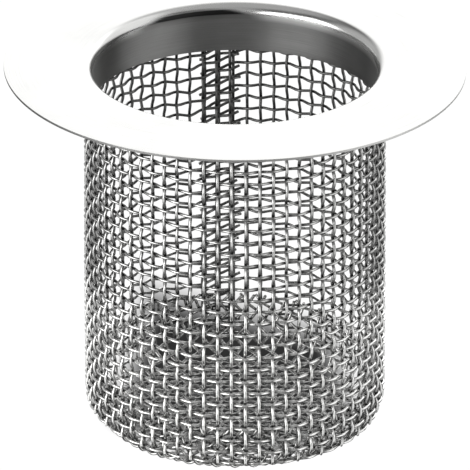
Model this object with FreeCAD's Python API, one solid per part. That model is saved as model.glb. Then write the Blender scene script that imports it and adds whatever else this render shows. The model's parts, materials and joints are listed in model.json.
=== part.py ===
import FreeCAD, Part
import math
import os

# Sink strainer: a pressed flange ring that carries a deep basket of woven wire cloth.
# The axis is Z, the basket stands on Z = 0, and the front of the strainer faces -Y.

# Flange ring, pressed from one sheet
flange_diameter = 112.0
sheet_thickness = 0.6
collar_bore = 69.0
collar_depth = 12.0  # from the flange's top face to the collar's lower edge
bend_radius = 2.0  # inside the bend, under the flange
bend_facets = 3

# Basket
basket_height = 94.0  # from the lowest wire to the flange's top face
wire_thickness = 0.75
mesh_width = 3.3  # middle of one upright to the middle of the next
mesh_height = 3.1  # middle of one hoop to the middle of the next
layer_gap = 0.05  # between layers that touch
slant_gap = 0.2  # between the two layers of the pressed dish

# Wall cloth, rolled into a tube
lap_wires = 3  # uprights that lie double in the lap
lap_angle = 92.0  # where the cloth begins, in degrees from +X
uprights_per_facet = 2  # uprights along each straight run of a hoop
cut_end = 0.6  # wire left past the last crossing
wall_foot = 4.0  # height of the wall's cut lower edge

# Bottom cloth, pressed into a dish that stands inside the wall
dish_corner_radius = 6.5
dish_corner_facets = 3
skirt_height = 15.0

up = FreeCAD.Vector(0, 0, 1)
axis_point = FreeCAD.Vector(0, 0, 0)

# Radii that follow from the sizes above
collar_outer = collar_bore / 2 + sheet_thickness
wall_inner = collar_outer + layer_gap
upright_outer = wall_inner + wire_thickness
cloth_middle = upright_outer
facet_count = round(2 * math.pi * cloth_middle / mesh_width / uprights_per_facet)
upright_count = facet_count * uprights_per_facet
upright_step = 2 * math.pi / upright_count
end_share = cut_end / (cloth_middle * upright_step)  # a cut end, counted in uprights
facet_half_angle = (uprights_per_facet + end_share) * upright_step / 2
hoop_inner = (upright_outer + layer_gap) / math.cos(facet_half_angle)
hoop_outer = hoop_inner + wire_thickness / math.cos(facet_half_angle)
lap_step = hoop_outer + layer_gap - wall_inner
dish_outer = wall_inner - layer_gap
slant_depth = math.sqrt(2) * wire_thickness  # of a square wire that meets the skirt aslant
dish_facet_half_angle = math.pi / 4 / dish_corner_facets
cross_inset = (slant_depth + slant_gap) / math.cos(dish_facet_half_angle)

# Heights that follow
collar_foot = basket_height - collar_depth
bend_foot = basket_height - sheet_thickness - bend_radius
wall_top = bend_foot - layer_gap
hoop_top = wall_top - cut_end
hoop_foot = wall_foot + cut_end
hoop_gaps = round((hoop_top - hoop_foot) / mesh_height)
hoop_pitch = (hoop_top - hoop_foot) / hoop_gaps


def point(x, z):
    return FreeCAD.Vector(x, 0, z)


def arc_points(centre, radius, start, end, facets):
    points = []
    for step in range(facets + 1):
        angle = math.radians(start + (end - start) * step / facets)
        points.append(centre + point(radius * math.cos(angle), radius * math.sin(angle)))
    return points


def polygon_face(points):
    return Part.Face(Part.makePolygon(points + points[:1]))


def flange_ring():
    # Half section of the pressing: collar, bend and flange, turned about the axis
    rim = flange_diameter / 2
    centre = point(collar_outer + bend_radius, bend_foot)
    upper = [point(collar_bore / 2, collar_foot)]
    upper += arc_points(centre, bend_radius + sheet_thickness, 180, 90, bend_facets)
    upper.append(point(rim, basket_height))
    under = [point(collar_outer, collar_foot)]
    under += arc_points(centre, bend_radius, 180, 90, bend_facets)
    under.append(point(rim, basket_height - sheet_thickness))
    return polygon_face(upper + under[::-1]).revolve(axis_point, up, 360)


def cloth_lift(index):
    # The cloth steps out by one layer on its way into the lap
    step_start = upright_count - uprights_per_facet
    share = (index - step_start) / uprights_per_facet
    return lap_step * min(max(share, 0.0), 1.0)


def cloth_angle(index):
    return math.radians(lap_angle) + index * upright_step


def cloth_slope(index):
    # Angle by which the cloth leaves the circle, taken across one upright spacing
    climb = cloth_lift(index + 0.5) - cloth_lift(index - 0.5)
    return math.degrees(math.atan2(climb, cloth_middle * upright_step))


def upright_wires():
    half = wire_thickness / 2
    height = wall_top - wall_foot
    wires = []
    for index in range(upright_count + lap_wires):
        corner = FreeCAD.Vector(-half, -half, wall_foot)
        wire = Part.makeBox(wire_thickness, wire_thickness, height, corner)
        wire.rotate(axis_point, up, -cloth_slope(index))
        wire.translate(FreeCAD.Vector(wall_inner + cloth_lift(index) + half, 0, 0))
        wire.rotate(axis_point, up, math.degrees(cloth_angle(index)))
        wires.append(wire)
    return Part.makeCompound(wires)


def hoop_corners():
    # Places along the cloth, counted in uprights, where a hoop turns or ends
    last_upright = upright_count + lap_wires - 1
    turns = list(range(uprights_per_facet, last_upright, uprights_per_facet))
    return [-end_share] + turns + [last_upright + end_share]


def hoop_wire(height):
    inner = []
    outer = []
    for index in hoop_corners():
        angle = cloth_angle(index)
        lift = cloth_lift(index)
        outward = FreeCAD.Vector(math.cos(angle), math.sin(angle), 0)
        level = up * (height - wire_thickness / 2)
        inner.append(outward * (hoop_inner + lift) + level)
        outer.append(outward * (hoop_outer + lift) + level)
    return polygon_face(inner + outer[::-1]).extrude(up * wire_thickness)


def dish_profile(inset):
    # Half section of one layer's outside, from the edge of the flat bottom up the skirt
    centre = point(dish_outer - dish_corner_radius, dish_corner_radius)
    corner = arc_points(centre, dish_corner_radius - inset, -90, 0, dish_corner_facets)
    return corner + [point(dish_outer - inset, skirt_height)]


def profile_height(profile, radius):
    for inner, outer in zip(profile, profile[1:]):
        if inner.x <= radius < outer.x:
            return inner.z + (outer.z - inner.z) * (radius - inner.x) / (outer.x - inner.x)
    return profile[0].z


def dish_path(profile, offset):
    # The dish cut by an upright plane that passes the axis at this offset
    half = [point(math.sqrt(p.x**2 - offset**2), p.z) for p in profile if p.x > offset]
    if offset > profile[0].x:
        dip = [0, half[0].x / 2]
        half = [point(x, profile_height(profile, math.hypot(x, offset))) for x in dip] + half
    mirrored = [point(-p.x, p.z) for p in half[::-1] if p.x > 0]
    return mirrored + half


def inner_path(path):
    # The same path one wire further in, with mitred corners
    normals = []
    for start, end in zip(path, path[1:]):
        along = (end - start).normalize()
        normals.append(point(-along.z, along.x))
    moved = [path[0] + normals[0] * wire_thickness]
    for corner, before, after in zip(path[1:-1], normals, normals[1:]):
        moved.append(corner + (before + after) * (wire_thickness / (1 + before.dot(after))))
    moved.append(path[-1] + normals[-1] * wire_thickness)
    return moved


def dish_wires(inset, pitch, turn):
    profile = dish_profile(inset)
    reach = int((dish_outer - dish_corner_radius / 2) / pitch)
    wires = []
    for index in range(-reach, reach + 1):
        offset = index * pitch
        path = dish_path(profile, abs(offset) + wire_thickness / 2)
        wire = polygon_face(path + inner_path(path)[::-1]).extrude(FreeCAD.Vector(0, wire_thickness, 0))
        wire.translate(FreeCAD.Vector(0, offset - wire_thickness / 2, 0))
        wire.rotate(axis_point, up, turn)
        wires.append(wire)
    return Part.makeCompound(wires)


def build():
    parts = {
        "flange_ring": flange_ring(),
        "upright_wires": upright_wires(),
        "base_wires_long": dish_wires(0, mesh_height, 0),
        "base_wires_cross": dish_wires(cross_inset, mesh_width, 90),
    }
    for row in range(hoop_gaps + 1):
        parts[f"hoop_wire_{row + 1:02d}"] = hoop_wire(hoop_top - row * hoop_pitch)
    return parts


os.makedirs("parts", exist_ok=True)
for name, shape in build().items():
    shape.exportStep(f"parts/{name}.step")
    print(name, len(shape.Solids), "solids", round(shape.Volume, 2), "mm3")
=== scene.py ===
import bpy
import json
import math
import numpy as np
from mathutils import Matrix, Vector


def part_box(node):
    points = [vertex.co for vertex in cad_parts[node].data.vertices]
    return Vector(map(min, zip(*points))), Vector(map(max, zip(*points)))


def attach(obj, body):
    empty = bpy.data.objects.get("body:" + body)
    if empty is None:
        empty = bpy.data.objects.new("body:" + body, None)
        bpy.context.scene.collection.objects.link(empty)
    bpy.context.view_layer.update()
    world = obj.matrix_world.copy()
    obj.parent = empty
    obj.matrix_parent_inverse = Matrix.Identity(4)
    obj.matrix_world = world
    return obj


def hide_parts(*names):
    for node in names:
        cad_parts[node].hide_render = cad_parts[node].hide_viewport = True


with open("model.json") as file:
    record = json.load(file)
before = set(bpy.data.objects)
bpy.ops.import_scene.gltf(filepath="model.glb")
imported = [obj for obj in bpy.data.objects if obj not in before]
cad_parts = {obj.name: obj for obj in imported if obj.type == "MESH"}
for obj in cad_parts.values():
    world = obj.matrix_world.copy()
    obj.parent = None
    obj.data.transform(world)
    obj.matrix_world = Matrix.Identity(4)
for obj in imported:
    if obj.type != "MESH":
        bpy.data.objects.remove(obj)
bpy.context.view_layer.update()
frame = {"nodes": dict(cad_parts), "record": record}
mm = 0.001
tiny = 1e-9  # keeps the axis out of divisions
up = np.array((0.0, 0.0, 1.0))

# what the frame says about the strainer
rimLow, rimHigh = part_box("flange_ring")
rimRadius = rimHigh.x
rimTop = rimHigh.z
collarFoot = rimLow.z
mounts = {mount["name"]: mount for mount in frame["record"]["mounts"]}
boreRadius = mounts["collar_bore"]["dims"]["r_mm"] * mm
sheet = rimTop - mounts["flange_seat"]["pos_m"][2]
hoopNames = sorted(name for name in frame["nodes"] if name.startswith("hoop_wire"))
hoopBoxes = [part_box(name) for name in hoopNames]
rowHeights = [(low.z + high.z) / 2 for low, high in hoopBoxes]
rowPitch = (rowHeights[0] - rowHeights[-1]) / (len(rowHeights) - 1)
wireRadius = (hoopBoxes[0][1].z - hoopBoxes[0][0].z) / 2
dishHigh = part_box("base_wires_long")[1]
dishRadius = dishHigh.x
print("frame read:", len(hoopNames), "hoops, wire", round(2 * wireRadius / mm, 2), "mm")


def smoothStep(low, high, value):
    share = np.clip((value - low) / (high - low), 0.0, 1.0)
    return share * share * (3 - 2 * share)


def waves(seed, count, reach):
    # a slow, repeatable wander: a few sines with drawn phases
    draw = np.random.default_rng(seed)
    pitches = draw.uniform(0.4, 1.0, (count, 2)) * reach
    phases = draw.uniform(0, 2 * math.pi, count)

    def wander(a, b):
        total = 0.0
        for (pa, pb), phase in zip(pitches, phases):
            total = total + np.sin(pa * a + pb * b + phase)
        return total / count

    return wander


def newObject(name, verts, faces, material):
    mesh = bpy.data.meshes.new(name)
    mesh.from_pydata(verts.reshape(-1, 3).tolist(), [], faces)
    mesh.polygons.foreach_set("use_smooth", [True] * len(mesh.polygons))
    mesh.materials.append(material)
    made = bpy.data.objects.new(name, mesh)
    bpy.context.scene.collection.objects.link(made)
    return made


def makePiece(name, verts, faces, material, nodes, marks):
    piece = newObject(name, verts, faces, material)
    mesh = piece.data
    for mark, values in marks.items():
        layer = mesh.attributes.new(mark, "FLOAT", "POINT")
        layer.data.foreach_set("value", np.asarray(values, np.float32))
    mesh.update()
    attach(piece, "root")
    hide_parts(*nodes)
    print(name, len(mesh.vertices), "points", len(mesh.polygons), "faces")


# materials

steelTint = 0.985  # blue in the steel, as a share of red and green


def newMaterial(name):
    material = bpy.data.materials.new(name)
    material.use_nodes = True
    tree = material.node_tree
    return material, tree, tree.nodes["Principled BSDF"]


def placeNode(tree, space="Object"):
    return tree.nodes.new("ShaderNodeTexCoord").outputs[space]


def axesNode(tree, place):
    parts = tree.nodes.new("ShaderNodeSeparateXYZ")
    tree.links.new(place, parts.inputs[0])
    return parts.outputs


def markNode(tree, mark):
    node = tree.nodes.new("ShaderNodeAttribute")
    node.attribute_name = mark
    return node.outputs["Fac"]


def mathNode(tree, operation, *values):
    node = tree.nodes.new("ShaderNodeMath")
    node.operation = operation
    for socket, value in zip(node.inputs, values):
        if isinstance(value, (int, float)):
            socket.default_value = value
        else:
            tree.links.new(value, socket)
    return node.outputs[0]


def distanceNode(tree, x, y):
    squareX = mathNode(tree, "MULTIPLY", x, x)
    squareY = mathNode(tree, "MULTIPLY", y, y)
    return mathNode(tree, "SQRT", mathNode(tree, "ADD", squareX, squareY))


def rangeNode(tree, value, source, target=(0.0, 1.0), change="SMOOTHSTEP"):
    node = tree.nodes.new("ShaderNodeMapRange")
    node.interpolation_type = change
    for name, limit in zip(("From Min", "From Max", "To Min", "To Max"), (*source, *target)):
        node.inputs[name].default_value = limit
    tree.links.new(value, node.inputs["Value"])
    return node.outputs["Result"]


def rampNode(tree, value, stops):
    ramp = tree.nodes.new("ShaderNodeValToRGB")
    points = ramp.color_ramp.elements
    while len(points) < len(stops):
        points.new(0.5)
    for point, (place, grey) in zip(points, stops):
        point.position = place
        point.color = (grey, grey, grey * steelTint, 1)
    tree.links.new(value, ramp.inputs["Fac"])
    return ramp.outputs["Color"]


def noiseNode(tree, place, scale, detail, roughness=0.55):
    noise = tree.nodes.new("ShaderNodeTexNoise")
    noise.inputs["Scale"].default_value = scale
    noise.inputs["Detail"].default_value = detail
    noise.inputs["Roughness"].default_value = roughness
    tree.links.new(place, noise.inputs["Vector"])
    return noise.outputs["Fac"]


def mixNode(tree, share, first, second):
    mix = tree.nodes.new("ShaderNodeMix")
    mix.data_type = "RGBA"
    tree.links.new(share, mix.inputs["Factor"])
    tree.links.new(first, mix.inputs["A"])
    tree.links.new(second, mix.inputs["B"])
    return mix.outputs["Result"]


def bumpNode(tree, height, strength, depth):
    bump = tree.nodes.new("ShaderNodeBump")
    bump.inputs["Strength"].default_value = strength
    bump.inputs["Distance"].default_value = depth
    tree.links.new(height, bump.inputs["Height"])
    return bump.outputs["Normal"]


wireFinish = {
    "tone": [(0.0, 0.06), (0.25, 0.18), (0.60, 0.66), (1.0, 0.92)],
    "mottle": (900.0, 4),  # cells per metre, layers
    "mottleShare": 0.2,
    "crossingLightShare": 0.15,
    "drawLines": (2600.0, 2),
    "roughness": (0.32, 0.17),  # dull to bright
    "bump": 0.12,
    "bumpDepth": 0.05 * mm,
    "paintedFacingRange": (-0.6, 0.2),  # painted light and shade: faces turned away from the axis are painted bright, faces towards it dark
    "paintedFacingLight": (0.28, 0.95),
    "knuckles": (-0.7, 0.3),  # painted shade: where wires dive under they are darker
    "valley": (0.40, 1.0),
    "nookShadeReach": 2.4 * mm,  # painted shade: nooks between wires are darkened
    "nookShadeSamples": 4,
    "nookShade": [(0.40, 0.12), (0.62, 0.65), (0.82, 1.0)],
    "shadeBandHeight": 0.1,  # what the painted shade bands' heights are shares of
    # painted shade: darker at the foot, where contact shade falls, and high up, in the flange's shadow
    "heightShade": [(0.03, 0.74), (0.16, 1.0), (0.40, 1.0), (0.48, 0.40)],
    "shadeBandArch": 0.2,  # the band between the two painted shades ends lower at the two sides
}


def wireMaterial():
    spec = wireFinish
    material, tree, shader = newMaterial("brightDrawnWire")
    shader.inputs["Metallic"].default_value = 1.0
    place = placeNode(tree)
    side = markNode(tree, "outside")  # painted light by facing: -1 towards the axis, +1 away from it
    paintedFacingLight = rangeNode(tree, side, spec["paintedFacingRange"], spec["paintedFacingLight"])
    knuckle = markNode(tree, "knuckle")  # +1 where the wire comes over, -1 where it dives under
    # painted shade where the wire dives under another
    lift = rangeNode(tree, knuckle, spec["knuckles"], spec["valley"])
    crest = mathNode(tree, "MULTIPLY", paintedFacingLight, lift)
    # painted shade in the nooks between wires, from an occlusion ramp
    nook = tree.nodes.new("ShaderNodeAmbientOcclusion")
    nook.samples = spec["nookShadeSamples"]
    nook.inputs["Distance"].default_value = spec["nookShadeReach"]
    nookShade = rampNode(tree, nook.outputs["AO"], spec["nookShade"])
    nookShaded = mathNode(tree, "MULTIPLY", crest, nookShade)
    # painted shade by height: dark at the foot and under the flange
    x, y, z = axesNode(tree, place)
    arch = mathNode(tree, "MULTIPLY", mathNode(tree, "ABSOLUTE", x), spec["shadeBandArch"])
    level = mathNode(tree, "DIVIDE", mathNode(tree, "ADD", z, arch), spec["shadeBandHeight"])
    heightShaded = mathNode(tree, "MULTIPLY", nookShaded, rampNode(tree, level, spec["heightShade"]))
    crossingLight = markNode(tree, "crossingLight")  # painted shade at -1 where wires press on each other, painted highlight at +1 on the outer knuckles
    shade = mathNode(tree, "MULTIPLY_ADD", crossingLight, spec["crossingLightShare"], heightShaded)
    mottle = noiseNode(tree, place, *spec["mottle"])
    total = mathNode(tree, "ADD", shade, mathNode(tree, "MULTIPLY", mottle, spec["mottleShare"]))
    tree.links.new(rampNode(tree, total, spec["tone"]), shader.inputs["Base Color"])
    gloss = rangeNode(tree, total, (0.0, 1.0), spec["roughness"], "LINEAR")
    tree.links.new(gloss, shader.inputs["Roughness"])
    grain = noiseNode(tree, place, *spec["drawLines"])
    tree.links.new(bumpNode(tree, grain, spec["bump"], spec["bumpDepth"]), shader.inputs["Normal"])
    return material


sheetFinish = {
    "tone": [(0.25, 0.60), (0.5, 0.72), (0.75, 0.80)],
    "ringLines": 5200.0,  # polishing marks per metre of radius
    "ringStretch": 2.2,
    "ringNoise": (1.0, 5, 0.65),
    "ringShare": 0.45,
    "smudge": (45.0, 3),  # cells per metre, layers
    "smudgeShare": 0.55,
    # painted shade inside the collar
    "collarShadeTone": [(0.0, 0.03), (0.20, 0.15), (0.50, 0.25), (0.80, 0.36)],
    "collarLightDrift": -7.5,  # painted light: the collar is brighter on the left
    "collarDull": 0.14,  # roughness added inside the collar
    "cutTone": [(0.10, 0.12), (0.50, 0.36), (0.90, 0.90)],
    "cutMiddle": 0.5,
    "cutShadeDrift": 7.0,  # painted shade: the sheared edge is darker on the left
    "cutDull": 0.30,
    "glossRange": (0.25, 0.75),
    "roughness": (0.16, 0.30),
    "bump": 0.05,
    "bumpDepth": 0.05 * mm,
}


def sheetMaterial():
    spec = sheetFinish
    material, tree, shader = newMaterial("polishedSheet")
    shader.inputs["Metallic"].default_value = 1.0
    place = placeNode(tree)
    x, y, z = axesNode(tree, place)
    across = mathNode(tree, "ADD", distanceNode(tree, x, y), z)  # out the flange, down the collar
    turn = mathNode(tree, "ARCTAN2", y, x)
    polar = tree.nodes.new("ShaderNodeCombineXYZ")
    tree.links.new(mathNode(tree, "MULTIPLY", across, spec["ringLines"]), polar.inputs[0])
    tree.links.new(mathNode(tree, "MULTIPLY", turn, spec["ringStretch"]), polar.inputs[1])
    rings = noiseNode(tree, polar.outputs[0], *spec["ringNoise"])
    smudge = noiseNode(tree, place, *spec["smudge"])
    ringPart = mathNode(tree, "MULTIPLY", rings, spec["ringShare"])
    smudgePart = mathNode(tree, "MULTIPLY", smudge, spec["smudgeShare"])
    total = mathNode(tree, "ADD", ringPart, smudgePart)
    bright = rampNode(tree, total, spec["tone"])
    collarShade = markNode(tree, "collarShade")  # 1 inside the collar, where shade is painted
    bendStreak = markNode(tree, "bendStreak")  # 1 where a dark streak is painted on the bend, in place of a dark reflection
    # painted light and shade inside the collar: brighter on the left, with the painted dark streak
    # taken off
    paintedLit = mathNode(tree, "ADD", total, mathNode(tree, "MULTIPLY", x, spec["collarLightDrift"]))
    dull = rampNode(tree, mathNode(tree, "SUBTRACT", paintedLit, bendStreak), spec["collarShadeTone"])
    cut = markNode(tree, "cut")  # 1 on the sheared edges
    # the sheared edge's own tone, with painted shade darker on the left
    along = mathNode(tree, "MULTIPLY", x, spec["cutShadeDrift"])
    sheared = rampNode(tree, mathNode(tree, "ADD", along, spec["cutMiddle"]), spec["cutTone"])
    face = mixNode(tree, collarShade, bright, dull)
    tree.links.new(mixNode(tree, cut, face, sheared), shader.inputs["Base Color"])
    gloss = rangeNode(tree, total, spec["glossRange"], spec["roughness"], "LINEAR")
    collarDull = mathNode(tree, "MULTIPLY_ADD", collarShade, spec["collarDull"], gloss)
    cutDull = mathNode(tree, "MULTIPLY_ADD", cut, spec["cutDull"], collarDull)
    tree.links.new(cutDull, shader.inputs["Roughness"])
    tree.links.new(bumpNode(tree, rings, spec["bump"], spec["bumpDepth"]), shader.inputs["Normal"])
    return material


wireSteel = wireMaterial()
sheetSteel = sheetMaterial()
print("materials made")


# flange ring, one pressing

flangeRing = {
    "turns": 256,
    "bendRadius": 2.0 * mm,  # under the flange
    "bendSteps": 10,
    "lipRadius": 0.06 * mm,  # cut edges, tumbled round
    "lipSteps": 4,
    "wallSteps": 6,
    "footTrim": 1.4 * mm,  # the collar's foot stands this much higher at the front
    "rimDip": 0.65 * mm,  # the thin rim hangs a little
    "rimTilt": 0.60 * mm,  # and more so on the right
    "rimCurve": 1.5,
    "collarShadeTop": -0.6 * mm,  # the painted shade inside the collar ends at the foot of the bend
    "collarShadeSoft": 1.0 * mm,
    "collarShadeClimb": 1.9 * mm,  # but climbs it at the back
    "collarShadeAngle": 107.0,
    "collarShadeSpread": 20.0,
    "collarShadeFade": (0.4, 1.5),  # in spreads
    "bendStreak": (0.2 * mm, 1.9 * mm),  # painted dark streak on the bend there, from its foot up, in place of a dark reflection
    "bendStreakSoft": (0.4 * mm, 0.2 * mm, 0.6 * mm),  # below its foot, above it, and under its top
    "cutDepth": 0.01 * mm,
}


def arcRow(centreR, centreZ, radius, start, end, steps):
    angles = np.radians(np.linspace(start, end, steps + 1))
    return [(centreR + radius * math.cos(a), centreZ + radius * math.sin(a)) for a in angles]


def straightRow(start, end, steps):
    shares = np.linspace(0, 1, steps + 1)[1:-1]
    run = end[0] - start[0]
    rise = end[1] - start[1]
    return [(start[0] + run * share, start[1] + rise * share) for share in shares]


def spin(outline, turns):
    angles = np.arange(turns) * 2 * math.pi / turns
    verts = np.zeros((turns, len(outline), 3))
    verts[:, :, 0] = np.outer(np.cos(angles), outline[:, 0])
    verts[:, :, 1] = np.outer(np.sin(angles), outline[:, 0])
    verts[:, :, 2] = outline[:, 1]
    return angles, verts


def flangeOutline():
    spec = flangeRing
    bend = spec["bendRadius"]
    lip = spec["lipRadius"]
    outer = boreRadius + sheet
    bendR = outer + bend
    bendZ = rimTop - sheet - bend
    under = rimTop - sheet
    steps = spec["lipSteps"]
    rows = [
        arcRow(boreRadius + lip, collarFoot + lip, lip, 270, 180, steps),
        arcRow(bendR, bendZ, bend + sheet, 180, 90, spec["bendSteps"]),
        arcRow(rimRadius - lip, rimTop - lip, lip, 90, 0, steps),
        arcRow(rimRadius - lip, under + lip, lip, 0, -90, steps),
        arcRow(bendR, bendZ, bend, 90, 180, spec["bendSteps"]),
        arcRow(outer - lip, collarFoot + lip, lip, 0, -90, steps),
    ]
    outline = []
    for row, following in zip(rows, rows[1:] + rows[:1]):
        outline += row
        outline += straightRow(row[-1], following[0], spec["wallSteps"])
    return np.array(outline)


def flangeMarks(outline, angles, bendFoot):
    spec = flangeRing
    inner = outline[:, 0] < boreRadius + sheet / 2
    around = (np.degrees(angles) - spec["collarShadeAngle"] + 180) % 360 - 180
    climb = 1 - smoothStep(*spec["collarShadeFade"], np.abs(around) / spec["collarShadeSpread"])
    collarShadeTop = bendFoot + spec["collarShadeTop"] + spec["collarShadeClimb"] * climb
    above = outline[None, :, 1] - collarShadeTop[:, None]
    # painted shade mask inside the collar
    collarShade = np.where(inner, 1 - smoothStep(0, spec["collarShadeSoft"], above), 0.0)
    streakLow, streakHigh = spec["bendStreak"]
    softBelow, softAbove, softTop = spec["bendStreakSoft"]
    # painted dark streak on the bend, in place of a dark reflection
    height = outline[:, 1] - bendFoot
    band = smoothStep(streakLow - softBelow, streakLow + softAbove, height)
    band *= 1 - smoothStep(streakHigh - softTop, streakHigh, height)
    bendStreak = np.outer(climb, np.where(inner, band, 0.0))
    edge = outline[:, 0] > rimRadius - spec["cutDepth"]
    foot = outline[:, 1] < collarFoot + spec["cutDepth"]
    cut = np.tile(edge | foot, len(angles))
    return {"collarShade": collarShade.reshape(-1), "bendStreak": bendStreak.reshape(-1), "cut": cut}


def buildFlange():
    spec = flangeRing
    outline = flangeOutline()
    angles, verts = spin(outline, spec["turns"])
    bendFoot = rimTop - spec["bendRadius"] - sheet
    low = 1 - np.clip((outline[:, 1] - collarFoot) / (bendFoot - collarFoot), 0, 1)
    trim = spec["footTrim"] * (1 - np.sin(angles)) / 2
    bendEdge = boreRadius + sheet + spec["bendRadius"]
    hang = np.clip((outline[:, 0] - bendEdge) / (rimRadius - bendEdge), 0, 1) ** spec["rimCurve"]
    dip = spec["rimDip"] + spec["rimTilt"] * np.cos(angles)
    verts[:, :, 2] = outline[:, 1] + np.outer(trim, low) - np.outer(dip, hang)
    count = len(outline)
    faces = []
    for turn in range(spec["turns"]):
        here = turn * count
        there = (turn + 1) % spec["turns"] * count
        for row in range(count):
            after = (row + 1) % count
            faces.append((here + row, here + after, there + after, there + row))
    marks = flangeMarks(outline, angles, bendFoot)
    makePiece("flangeRing", verts, faces, sheetSteel, ["flange_ring"], marks)


buildFlange()


# woven wire

wireTube = {
    "sides": 8,
    "steps": 4,  # rings from one crossing to the next
    "crossingLightSharp": 3,  # higher keeps the painted shade and highlight closer to the crossings
}


def newWires():
    return {"verts": [], "faces": [], "crossingLight": [], "outside": [], "knuckle": [], "count": 0}


def addWire(wires, path, outward, weave, crossing, paintedShine=(-1.0, 1.0)):
    # one round wire; weave is its offset along outward, crossing is 1 where it meets another wire
    sides = wireTube["sides"]
    rings = len(path)
    first = wires["count"]
    centre = path + outward * weave[:, None]
    along = np.gradient(centre, axis=0)
    along /= np.linalg.norm(along, axis=1)[:, None]
    out = outward - along * np.sum(outward * along, axis=1)[:, None]
    out /= np.linalg.norm(out, axis=1)[:, None]
    beside = np.cross(along, out)
    turn = np.arange(sides) * 2 * math.pi / sides
    ring = np.cos(turn)[None, :, None] * out[:, None, :]
    ring = ring + np.sin(turn)[None, :, None] * beside[:, None, :]
    verts = centre[:, None, :] + ring * wireRadius
    for step in range(rings - 1):
        here = first + step * sides
        there = here + sides
        for side in range(sides):
            after = (side + 1) % sides
            wires["faces"].append((here + side, here + after, there + after, there + side))
    last = first + (rings - 1) * sides
    wires["faces"].append(tuple(first + side for side in reversed(range(sides))))
    wires["faces"].append(tuple(last + side for side in range(sides)))
    pressed = crossing[:, None] ** wireTube["crossingLightSharp"]
    # painted shade where wires press on each other, painted highlight on the outer knuckles
    crossingLight = np.sign(weave)[:, None] * np.cos(turn)[None, :] * pressed
    # painted light by facing: the inner face gets the first level, the outer face the second
    facing = (1 + np.cos(turn)) / 2
    inner = np.broadcast_to(paintedShine[0], rings)
    outside = inner[:, None] + (paintedShine[1] - inner)[:, None] * facing
    wires["verts"].append(verts.reshape(-1, 3))
    wires["crossingLight"].append(crossingLight.reshape(-1))
    wires["outside"].append(outside.reshape(-1))
    wires["knuckle"].append(np.repeat(np.sign(weave) * crossing, sides))
    wires["count"] += rings * sides


def wirePiece(name, wires, nodes):
    marks = {mark: np.concatenate(wires[mark]) for mark in ("crossingLight", "outside", "knuckle")}
    verts = np.concatenate(wires["verts"])
    makePiece(name, verts, wires["faces"], wireSteel, nodes, marks)


def crossings(low, high):
    steps = wireTube["steps"]
    whole = np.arange(math.ceil(low * steps), math.floor(high * steps) + 1) / steps
    return np.unique(np.concatenate([[low], whole, [high]]))


footDraw = {
    "depth": 3.2 * mm,  # how far both cloths draw in at the foot of the two sides
    "height": 9.0 * mm,
    "sharp": 6,  # higher keeps it closer to the two sides
}
layerGap = 0.05 * mm
clothRadius = boreRadius + sheet + layerGap + 2 * wireRadius


def drawIn(path):
    reach = np.hypot(path[:, 0], path[:, 1])
    low = np.clip(1 - path[:, 2] / footDraw["height"], 0, 1) ** 2
    side = np.abs(path[:, 0] / (reach + tiny)) ** footDraw["sharp"]
    share = reach / clothRadius
    path[:, 0] -= np.sign(path[:, 0]) * footDraw["depth"] * low * side * share
    return path


# wall cloth, rolled and lapped; spans named Rows count rows from the top, others count uprights

wallCloth = {
    "turnUprights": 67,
    "lapAngle": 92.0,  # where the cloth begins, degrees from +X
    "lapWires": 3,
    "lapDrift": 0.25,  # pitches that lapped uprights stand off from the ones below
    "lapStep": 1.55 * mm,  # one cloth's thickness and a hair
    "lapRise": (1.8, 0.2),  # the step's start and end, before the full turn
    "cutEnd": 0.6 * mm,
    "footEnd": 0.15 * mm,
    "innerEnd": (0.45, 0.80),  # hoop ends past the last upright, in pitches
    "outerEnd": (0.15, 0.40),
    "fray": 0.45 * mm,  # how far cut hoop ends bend up or down
    "frayInner": (-0.2, 1.0),
    "frayOuter": (-1.0, 1.0),
    "fraySpan": (0.5, 1.2),  # in pitches; the second is where the bend is full
    "rowLean": 0.22,  # rows stand this much higher at the back, in pitches
    "rowGain": 0.5,  # rows that one turn climbs, so lapped rows fall between each other
    "pullRows": (0, 4),  # the pulls below set in here
    "leftLift": 0.5,  # rows are pulled up on the left, in pitches
    "leftRise": (1, 8),
    "leftFall": (14, 34),
    "rightLift": 0.08,
    "rightRise": (56, 60),
    "rightFall": (63.5, 66.5),
    "rightTurn": 2.2,  # over 1, the fall ends in a sag
    "endDrop": 0.9,  # rows slope through the lap, in pitches
    "dropInner": (3, 3.8),  # where the slope begins, and its reach
    "dropOuter": (66, 3.5),
    "dropRows": (23, 27),  # it ends here
    "footSag": 1.2 * mm,  # the foot hangs lower in front, right of the middle
    "sagRows": (19, 28),
    "sagAngle": -62.0,
    "sagSpread": 30.0,
    "sway": 0.06,  # sideways wander, in pitches
    "bulge": 0.22 * mm,
    "bulgeBias": 0.6,
    "bulgePace": (3, 40),  # waves per radian and per metre
    "bulgeSpan": 30 * mm,  # from the collar or the dish to where the wall is free
    "footRadius": 5.6 * mm,  # the foot is drawn in over the dish's corner
    "hoopCrimp": 1.2,  # in wire radii
    "uprightCrimp": 0.95,
    "hoopWave": 0.08 * mm,  # hoops also wave up and down a little
}
uprightCount = wallCloth["turnUprights"]
rowCount = len(rowHeights)
swayField = waves(seed=11, count=5, reach=0.35)
riseField = waves(seed=23, count=5, reach=0.30)
bulgeField = waves(seed=31, count=3, reach=1.0)


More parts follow.
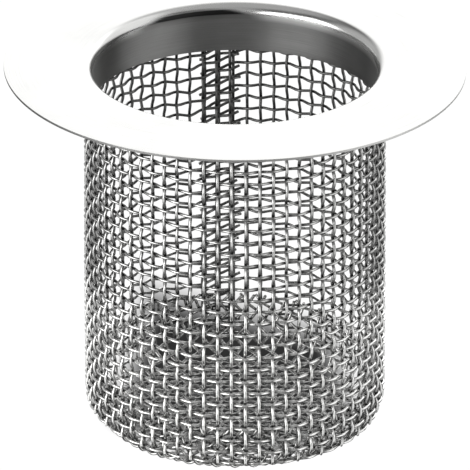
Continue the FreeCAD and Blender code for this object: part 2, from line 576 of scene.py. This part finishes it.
def rowShift(k, j):
    # pitches that the rows are pulled up, and that they drop through the lap
    spec = wallCloth
    pulled = smoothStep(*spec["pullRows"], j)
    left = smoothStep(*spec["leftRise"], k) * (1 - smoothStep(*spec["leftFall"], k)) * pulled
    rightFall = 1 - spec["rightTurn"] * smoothStep(*spec["rightFall"], k)
    right = smoothStep(*spec["rightRise"], k) * rightFall * pulled
    lifts = spec["leftLift"] * left + spec["rightLift"] * right
    innerStart, innerReach = spec["dropInner"]
    outerStart, outerReach = spec["dropOuter"]
    lapped = np.clip(k - outerStart, 0, outerReach) - np.clip(innerStart - k, 0, innerReach)
    ends = 1 - smoothStep(*spec["dropRows"], j)
    drop = spec["endDrop"] / spec["lapWires"] * lapped * pulled * ends
    return lifts, drop


def clothPoint(k, j):
    # place on the rolled cloth: k counts uprights, j counts rows from the top
    spec = wallCloth
    sway = swayField(k, j) * spec["sway"]
    rise = riseField(k, j) * spec["sway"]
    turnStep = 2 * math.pi / (uprightCount + spec["lapDrift"])
    angle = math.radians(spec["lapAngle"]) + (k + sway) * turnStep
    climb = spec["rowGain"] * (k / uprightCount - 0.5)
    lean = spec["rowLean"] * np.sin(angle)
    lifts, drop = rowShift(k, j)
    z = rowHeights[0] - (j + rise + climb - lean - lifts + drop) * rowPitch
    aside = np.degrees(angle) % 360 - 360 - spec["sagAngle"]
    sag = np.exp(-((aside / spec["sagSpread"]) ** 2))
    z -= spec["footSag"] * sag * smoothStep(*spec["sagRows"], j)
    stepStart, stepEnd = spec["lapRise"]
    lift = spec["lapStep"] * smoothStep(uprightCount - stepStart, uprightCount - stepEnd, k)
    span = spec["bulgeSpan"]
    free = smoothStep(0, span, collarFoot - z) * smoothStep(0, span, z - dishHigh.z)
    around, tall = spec["bulgePace"]
    bulge = spec["bulge"] * (spec["bulgeBias"] + bulgeField(around * angle, tall * z)) * free
    foot = spec["footRadius"]
    tuck = foot - np.sqrt(foot**2 - np.clip(foot - z, 0, foot) ** 2)
    radius = clothRadius + lift + bulge - tuck
    outward = np.stack([np.cos(angle), np.sin(angle), np.zeros_like(angle)], axis=-1)
    return drawIn(outward * radius[:, None] + z[:, None] * up), outward


def buildUprights():
    spec = wallCloth
    wires = newWires()
    for k in range(uprightCount + spec["lapWires"]):
        j = crossings(-spec["cutEnd"] / rowPitch, rowCount - 1 + spec["footEnd"] / rowPitch)
        path, outward = clothPoint(np.full_like(j, k), j)
        beat = np.cos(math.pi * (j + k))
        addWire(wires, path, outward, spec["uprightCrimp"] * wireRadius * beat, np.abs(beat))
    wirePiece("wallUprights", wires, ["upright_wires"])


def buildHoops():
    spec = wallCloth
    wires = newWires()
    draw = np.random.default_rng(5)
    near, far = spec["fraySpan"]
    for j in range(rowCount):
        start = draw.uniform(*spec["innerEnd"])
        end = draw.uniform(*spec["outerEnd"])
        innerBend = draw.uniform(*spec["frayInner"]) * spec["fray"]
        outerBend = draw.uniform(*spec["frayOuter"]) * spec["fray"]
        k = crossings(-start, uprightCount + spec["lapWires"] - 1 + end)
        path, outward = clothPoint(k, np.full_like(k, j))
        beat = -np.cos(math.pi * (j + k))
        fray = innerBend * smoothStep(near, far, k[0] + far - k)
        fray = fray + outerBend * smoothStep(near, far, k + far - k[-1])
        path += (beat * spec["hoopWave"] + fray)[:, None] * up
        addWire(wires, path, outward, spec["hoopCrimp"] * wireRadius * beat, np.abs(beat))
    wirePiece("wallHoops", wires, hoopNames)


buildUprights()
buildHoops()


# bottom cloth, a round blank pressed into a dish

dishCloth = {
    "pitch": 3.2 * mm,
    "bias": 45.0,  # degrees that the blank's wires are turned
    "cornerRadius": 5.6 * mm,
    "rimLean": 2.6 * mm,
    "rimHigh": 140,  # degrees from +X
    "rimUneven": 0.9 * mm,
    "settle": 4,  # rounds that find a wire's end on the uneven rim
    "shortest": 1.5,  # wires with less on one side are left out, in pitches
    "paintedShine": (0.50, -0.20),  # painted light on the inner faces: on the flat, and on the skirt
    # painted shade on the outer faces, which the wall cloth covers
    "outside": -0.20,
}
dishMiddle = dishRadius - 2 * wireRadius
cornerMiddle = dishCloth["cornerRadius"] - 2 * wireRadius
flatRadius = dishMiddle - cornerMiddle
cornerLength = cornerMiddle * math.pi / 2
blankRadius = flatRadius + cornerLength + dishHigh.z - dishCloth["cornerRadius"]
rimField = waves(seed=47, count=3, reach=4.0)


def rimReach(x, y):
    # blank's radius towards a point, before pressing
    angle = math.atan2(y, x) + math.radians(dishCloth["bias"])
    lean = dishCloth["rimLean"] * math.cos(angle - math.radians(dishCloth["rimHigh"]))
    return blankRadius + lean + dishCloth["rimUneven"] * rimField(math.cos(angle), math.sin(angle))


def wireReach(offset, sign, across):
    # how far a wire at this offset runs to one side
    half = math.sqrt(max(blankRadius**2 - offset**2, 0))
    for turn in range(dishCloth["settle"]):
        end = (offset, sign * half) if across else (sign * half, offset)
        half = math.sqrt(max(rimReach(*end) ** 2 - offset**2, 0))
    return half


def dishPoint(x, y):
    # place on the pressed dish of a point of the flat blank
    reach = np.hypot(x, y)
    angle = np.arctan2(y, x) + math.radians(dishCloth["bias"])
    aim = np.stack([np.cos(angle), np.sin(angle), np.zeros_like(x)], axis=-1)
    bend = np.clip((reach - flatRadius) / cornerMiddle, 0, math.pi / 2)
    radius = np.minimum(reach, flatRadius) + cornerMiddle * np.sin(bend)
    skirt = np.maximum(reach - flatRadius - cornerLength, 0)
    rise = cornerMiddle * (1 - np.cos(bend)) + skirt
    place = drawIn(aim * radius[:, None] + (rise + 2 * wireRadius)[:, None] * up)
    outward = aim * np.sin(bend)[:, None] - np.cos(bend)[:, None] * up
    return place, outward


def buildDish(name, node, across):
    wires = newWires()
    pitch = dishCloth["pitch"]
    paintedLit, skirt = dishCloth["paintedShine"]
    rows = int(blankRadius / pitch)
    for row in range(-rows, rows + 1):
        before = wireReach(row * pitch, -1, across) / pitch
        after = wireReach(row * pitch, 1, across) / pitch
        if min(before, after) < dishCloth["shortest"]:
            continue
        step = crossings(-before, after)
        still = np.full_like(step, row)
        beat = np.cos(math.pi * (step + row)) * (-1 if across else 1)
        flat = (still, step) if across else (step, still)
        path, outward = dishPoint(flat[0] * pitch, flat[1] * pitch)
        # painted light inside the dish, fading from the flat to the skirt
        climbed = np.clip(path[:, 2] / dishCloth["cornerRadius"], 0, 1)
        paintedShine = (paintedLit + (skirt - paintedLit) * climbed, dishCloth["outside"])
        addWire(wires, path, outward, wireRadius * beat, np.abs(beat), paintedShine)
    wirePiece(name, wires, [node])


buildDish("dishWiresLong", "base_wires_long", False)
buildDish("dishWiresCross", "base_wires_cross", True)


# pale sweep, camera and light

sweepSpec = {
    "floorRadius": 8.0,
    "curve": 4.0,
    "wallTop": 10.0,
    "height": 14.0,
    "pole": 0.0001,  # radius of the small holes on the axis
    "steps": 16,
    "turns": 64,
    "shadeSide": (23 * mm, 35 * mm),  # the soft shade under and behind the basket
    "shadeBack": (45 * mm, 76 * mm),
    "shadeFront": 1.3,  # how much sooner it fades in front
    "shadeTaper": 0.1,
    "shadeSlant": 0.55,  # its far end is nearer on the right
    "shade": (0.03, 1.03),
}


def paperMaterial():
    spec = sweepSpec
    material, tree, shader = newMaterial("palePaper")
    shader.inputs["Base Color"].default_value = (0, 0, 0, 1)
    shader.inputs["Specular IOR Level"].default_value = 0.0
    shader.inputs["Emission Color"].default_value = (1, 1, 1, 1)
    x, y, z = axesNode(tree, placeNode(tree))
    # painted shadow: the floor's glow is dimmed under and behind the basket, in place of a cast shadow
    ahead = mathNode(tree, "MULTIPLY", mathNode(tree, "MINIMUM", y, 0.0), spec["shadeFront"])
    taper = mathNode(tree, "MULTIPLY", mathNode(tree, "MAXIMUM", y, 0.0), spec["shadeTaper"])
    aside = mathNode(tree, "ADD", distanceNode(tree, x, ahead), taper)
    slant = mathNode(tree, "ADD", y, mathNode(tree, "MULTIPLY", x, spec["shadeSlant"]))
    sideFade = rangeNode(tree, aside, spec["shadeSide"], spec["shade"])
    backFade = rangeNode(tree, slant, spec["shadeBack"], spec["shade"])
    pale = mathNode(tree, "MAXIMUM", sideFade, backFade)
    tree.links.new(pale, shader.inputs["Emission Strength"])
    return material


def buildSweep():
    spec = sweepSpec
    curve = arcRow(spec["floorRadius"], spec["curve"], spec["curve"], 270, 360, spec["steps"])
    wall = (spec["floorRadius"] + spec["curve"], spec["wallTop"])
    outline = np.array([(spec["pole"], 0.0)] + curve + [wall, (spec["pole"], spec["height"])])
    angles, verts = spin(outline, spec["turns"])
    count = len(outline)
    faces = []
    for turn in range(spec["turns"]):
        here = turn * count
        there = (turn + 1) % spec["turns"] * count
        for row in range(count - 1):
            faces.append((here + row, there + row, there + row + 1, here + row + 1))
    sweep = newObject("paleSweep", verts, faces, paperMaterial())
    sweep.visible_glossy = False  # the steel sees the studio, not the paper
    sweep.visible_diffuse = False
    sweep.visible_shadow = False


cameraSpec = {
    "elevation": 24.6,
    "distance": 3.5,
    "frameWidth": 114.33 * mm,
    "aim": 48.1 * mm,
    "sensor": 36.0,
    "clipEnd": 60,
}


def buildCamera():
    spec = cameraSpec
    data = bpy.data.cameras.new("photoCamera")
    camera = bpy.data.objects.new("photoCamera", data)
    bpy.context.scene.collection.objects.link(camera)
    tilt = math.radians(spec["elevation"])
    back = Vector((0, -math.cos(tilt), math.sin(tilt)))
    camera.location = Vector((0, 0, spec["aim"])) + back * spec["distance"]
    camera.rotation_euler = (-back).to_track_quat("-Z", "Y").to_euler()
    data.sensor_width = spec["sensor"]
    data.lens = spec["sensor"] * spec["distance"] / spec["frameWidth"]
    data.clip_end = spec["clipEnd"]
    bpy.context.scene.camera = camera


studioLight = {
    "ground": 0.045,
    "fade": (-0.9, -0.6),  # heights between which a card sets in, where it has none of its own
}
studioCards = {
    "behind": {
        "toward": (0.20, 0.93, 0.30), "spread": 24, "blur": 22, "strength": 1.4, "fade": (-0.42, -0.2),
    },
    "lowBehind": {"toward": (0.00, 0.88, -0.45), "spread": 20, "blur": 20, "strength": 0.7},
    "right": {
        "toward": (0.88, 0.22, 0.42), "spread": 24, "blur": 18, "strength": 1.0, "fade": (-0.1, 0.1),
    },
    "leftBack": {"toward": (-0.85, 0.40, 0.05), "spread": 25, "blur": 25, "strength": 0.5},
    "key": {"toward": (-0.60, -0.80, 0.14), "spread": 14, "blur": 6, "strength": 3.7},
    "keyLeft": {"toward": (-0.91, -0.40, 0.14), "spread": 13, "blur": 10, "strength": 4.0},
    "frontRight": {"toward": (0.72, -0.68, 0.14), "spread": 12, "blur": 12, "strength": 1.3},
    "front": {"toward": (0.0, -0.85, 0.53), "spread": 10, "blur": 16, "strength": 0.4},
    "lowLeft": {"toward": (-0.72, -0.55, -0.42), "spread": 15, "blur": 20, "strength": 1.4},
    "lowRight": {"toward": (0.85, -0.30, -0.42), "spread": 15, "blur": 22, "strength": 1.1},
    "lowFront": {"toward": (0.05, -0.87, -0.50), "spread": 8, "blur": 20, "strength": 0.5},
    "overhead": {
        "toward": (0.0, 0.0, 1.0), "spread": 28, "blur": 18, "strength": 0.42, "fade": (0.0, 0.1),
    },
}


def buildStudio():
    world = bpy.data.worlds.new("softStudio")
    bpy.context.scene.world = world
    world.use_nodes = True
    tree = world.node_tree
    place = placeNode(tree, "Generated")
    height = axesNode(tree, place)[2]
    total = studioLight["ground"]
    for card in studioCards.values():
        facing = tree.nodes.new("ShaderNodeVectorMath")
        facing.operation = "DOT_PRODUCT"
        facing.inputs[1].default_value = Vector(card["toward"]).normalized()
        tree.links.new(place, facing.inputs[0])
        outer = math.cos(math.radians(card["spread"] + card["blur"]))
        inner = math.cos(math.radians(card["spread"]))
        glow = rangeNode(tree, facing.outputs["Value"], (outer, inner), (0.0, card["strength"]))
        above = rangeNode(tree, height, card.get("fade", studioLight["fade"]))
        total = mathNode(tree, "ADD", mathNode(tree, "MULTIPLY", glow, above), total)
    tree.links.new(total, tree.nodes["Background"].inputs["Color"])


buildSweep()
buildCamera()
buildStudio()
bpy.context.scene.view_settings.view_transform = "Standard"
print("stage set")
